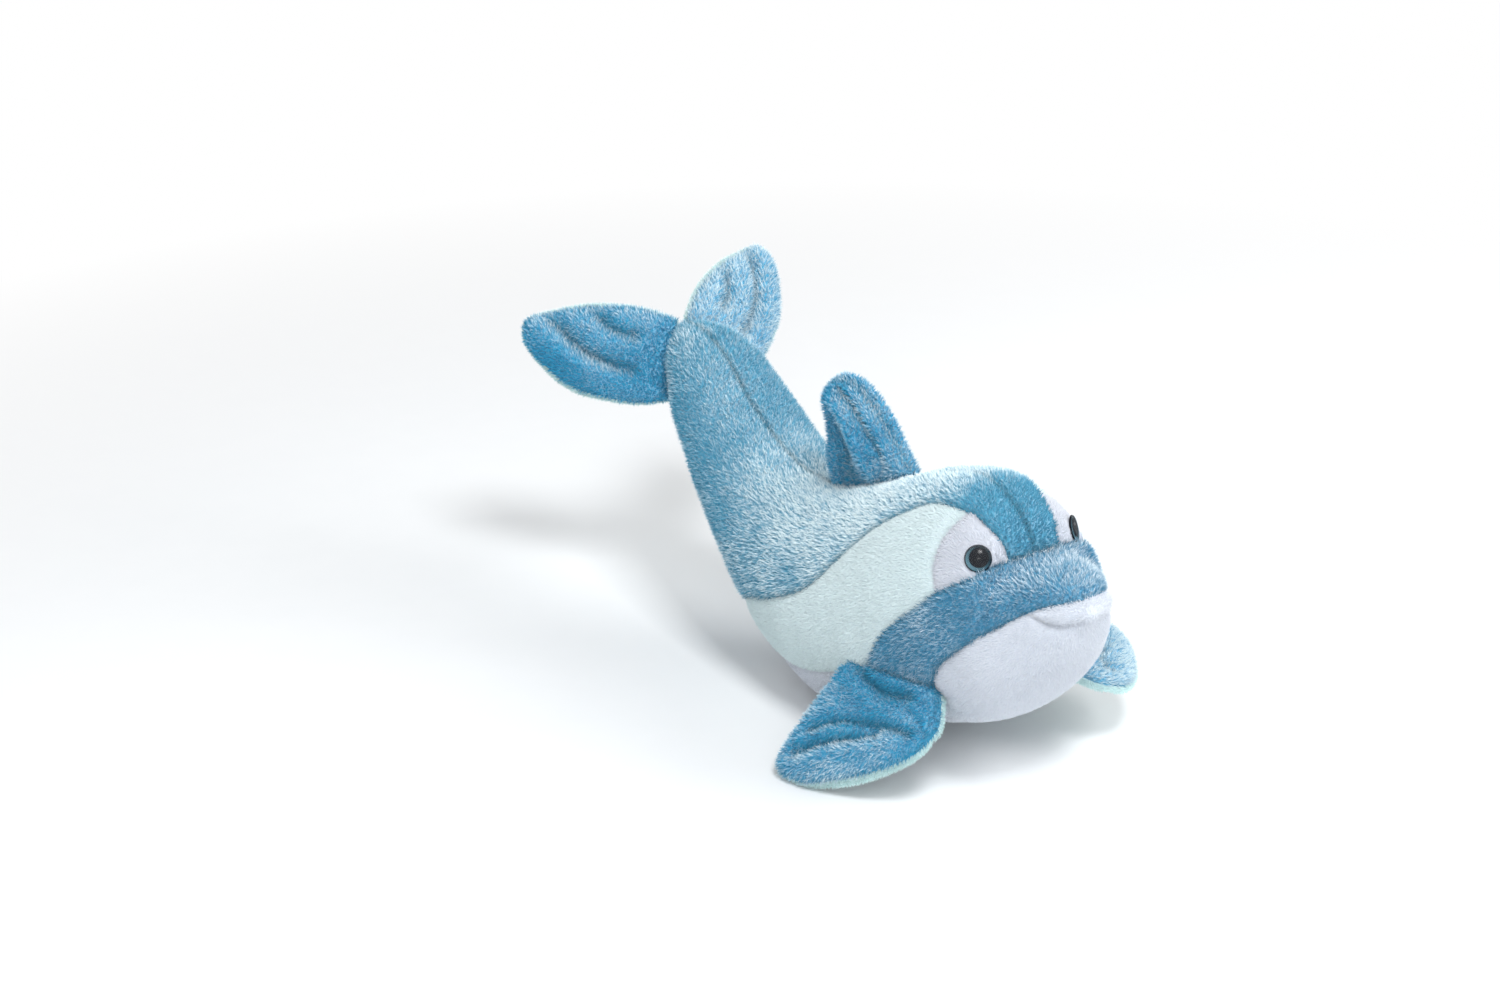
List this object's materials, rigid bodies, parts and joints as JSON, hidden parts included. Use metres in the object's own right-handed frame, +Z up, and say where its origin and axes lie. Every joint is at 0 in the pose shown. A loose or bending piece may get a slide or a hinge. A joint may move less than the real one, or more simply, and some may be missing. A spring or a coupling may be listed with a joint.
{
  "type": "plush dolphin",
  "caption": "Stuffed dolphin toy lying on its belly, with sewn plush panels, safety eyes and sprung stuffed fins and tail flukes.",
  "frame": {"origin": "middle of the flat on the underside of the belly, where the toy rests on the floor", "axes": "+Z up, -Y the way the dolphin looks, -X towards its right side"},
  "size_m": [0.1763, 0.3532, 0.1568],
  "materials": {
    "back_plush": "mottled light blue long pile plush",
    "band_plush": "steel blue short curly plush",
    "fin_plush": "deep blue plush",
    "mint_plush": "pale mint short pile plush",
    "white_plush": "white short pile plush",
    "stuffing": "polyester fibre stuffing",
    "eye_lens": "clear glossy plastic dome",
    "eye_disc": "glossy black with a teal ring",
    "washer": "matt white nylon"
  },
  "bodies": {
    "body": {"back_panel_right": "back_plush", "back_panel_left": "back_plush", "flank_panel_right": "mint_plush", "flank_panel_left": "mint_plush", "eye_patch_right": "white_plush", "eye_patch_left": "white_plush", "snout_band": "band_plush", "lip_panel": "white_plush", "belly_panel": "white_plush", "head_stuffing": "stuffing", "torso_stuffing": "stuffing", "tail_stuffing": "stuffing", "eye_lens_right": "eye_lens", "eye_shank_right": "eye_disc", "eye_washer_right": "washer", "eye_lens_left": "eye_lens", "eye_shank_left": "eye_disc", "eye_washer_left": "washer"},
    "pectoral_fin_right": {"pectoral_fin_right_top": "fin_plush", "pectoral_fin_right_bottom": "mint_plush", "pectoral_fin_right_stuffing": "stuffing"},
    "pectoral_fin_left": {"pectoral_fin_left_top": "fin_plush", "pectoral_fin_left_bottom": "mint_plush", "pectoral_fin_left_stuffing": "stuffing"},
    "fluke_right": {"fluke_right_top": "fin_plush", "fluke_right_bottom": "mint_plush", "fluke_right_stuffing": "stuffing"},
    "fluke_left": {"fluke_left_top": "fin_plush", "fluke_left_bottom": "mint_plush", "fluke_left_stuffing": "stuffing"},
    "dorsal_fin": {"dorsal_fin_right_panel": "fin_plush", "dorsal_fin_left_panel": "fin_plush", "dorsal_fin_stuffing": "stuffing"}
  },
  "joints": [
    {"name": "pectoral_fin_right_flap", "type": "hinge", "parent": "body", "child": "pectoral_fin_right", "pos_m": [-0.04072, -0.05818, 0.04317], "axis": [-0.168, 0.9833, -0.07], "range_deg": [-10, 25], "stiffness_Nm_per_rad": 0.15},
    {"name": "pectoral_fin_left_flap", "type": "hinge", "parent": "body", "child": "pectoral_fin_left", "pos_m": [0.04095, -0.05855, 0.04361], "axis": [-0.168, -0.971, -0.17], "range_deg": [-15, 15], "stiffness_Nm_per_rad": 0.15},
    {"name": "fluke_right_flap", "type": "hinge", "parent": "body", "child": "fluke_right", "pos_m": [-0.00932, 0.14999, 0.12442], "axis": [0.3579, 0.3369, 0.8708], "range_deg": [-20, 12], "stiffness_Nm_per_rad": 0.15},
    {"name": "fluke_left_flap", "type": "hinge", "parent": "body", "child": "fluke_left", "pos_m": [0.01174, 0.14609, 0.12763], "axis": [0.4521, -0.4871, -0.7472], "range_deg": [-20, 12], "stiffness_Nm_per_rad": 0.15},
    {"name": "dorsal_fin_rock", "type": "hinge", "parent": "body", "child": "dorsal_fin", "pos_m": [0, 0.0095, 0.10833], "axis": [0, 0.9408, -0.3389], "range_deg": [-15, 15], "stiffness_Nm_per_rad": 0.1}
  ]
}
